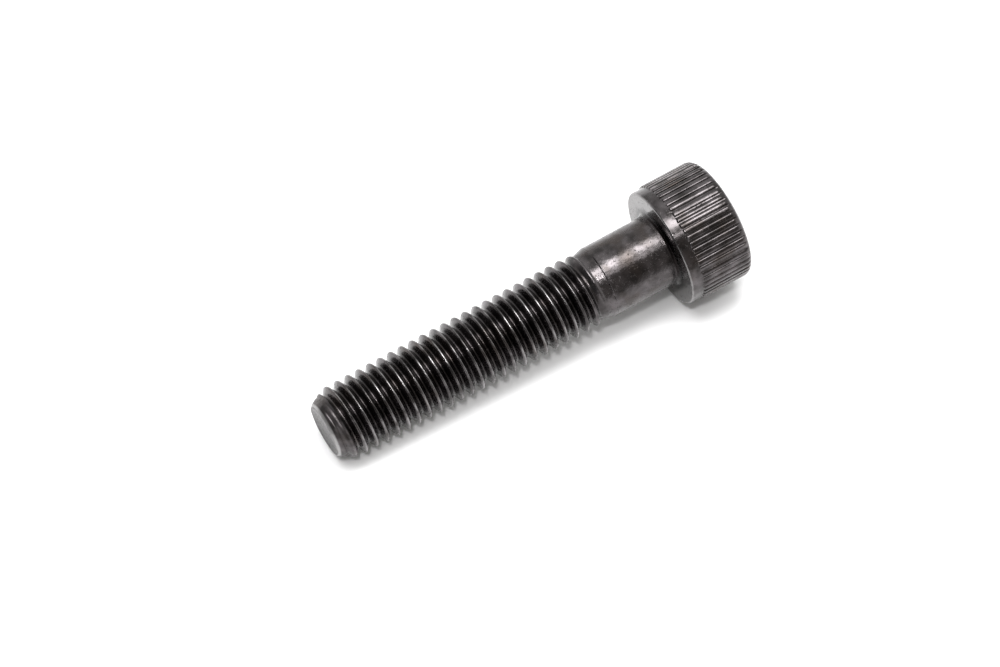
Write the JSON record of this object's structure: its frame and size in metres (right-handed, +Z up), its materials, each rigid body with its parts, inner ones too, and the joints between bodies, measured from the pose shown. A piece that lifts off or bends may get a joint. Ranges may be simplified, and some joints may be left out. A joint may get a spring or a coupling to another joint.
{
  "type": "bolt",
  "caption": "Cylindrical-headed cap screw with a straight-knurled head, a hexagon socket, a plain shank and a threaded end, lying on its side.",
  "frame": {"origin": "on the surface that the bolt lies on, under the middle of its length and width", "axes": "+X along the bolt from its threaded tip towards its head, +Z up, the bolt's axis rising towards the head by 3.9 degrees as it rests"},
  "size_m": [0.0482, 0.0132, 0.0136],
  "materials": {
    "black_oxide_steel": "satin black oxide, slightly oiled"
  },
  "bodies": {
    "root": {"bolt": "black_oxide_steel"}
  },
  "joints": []
}
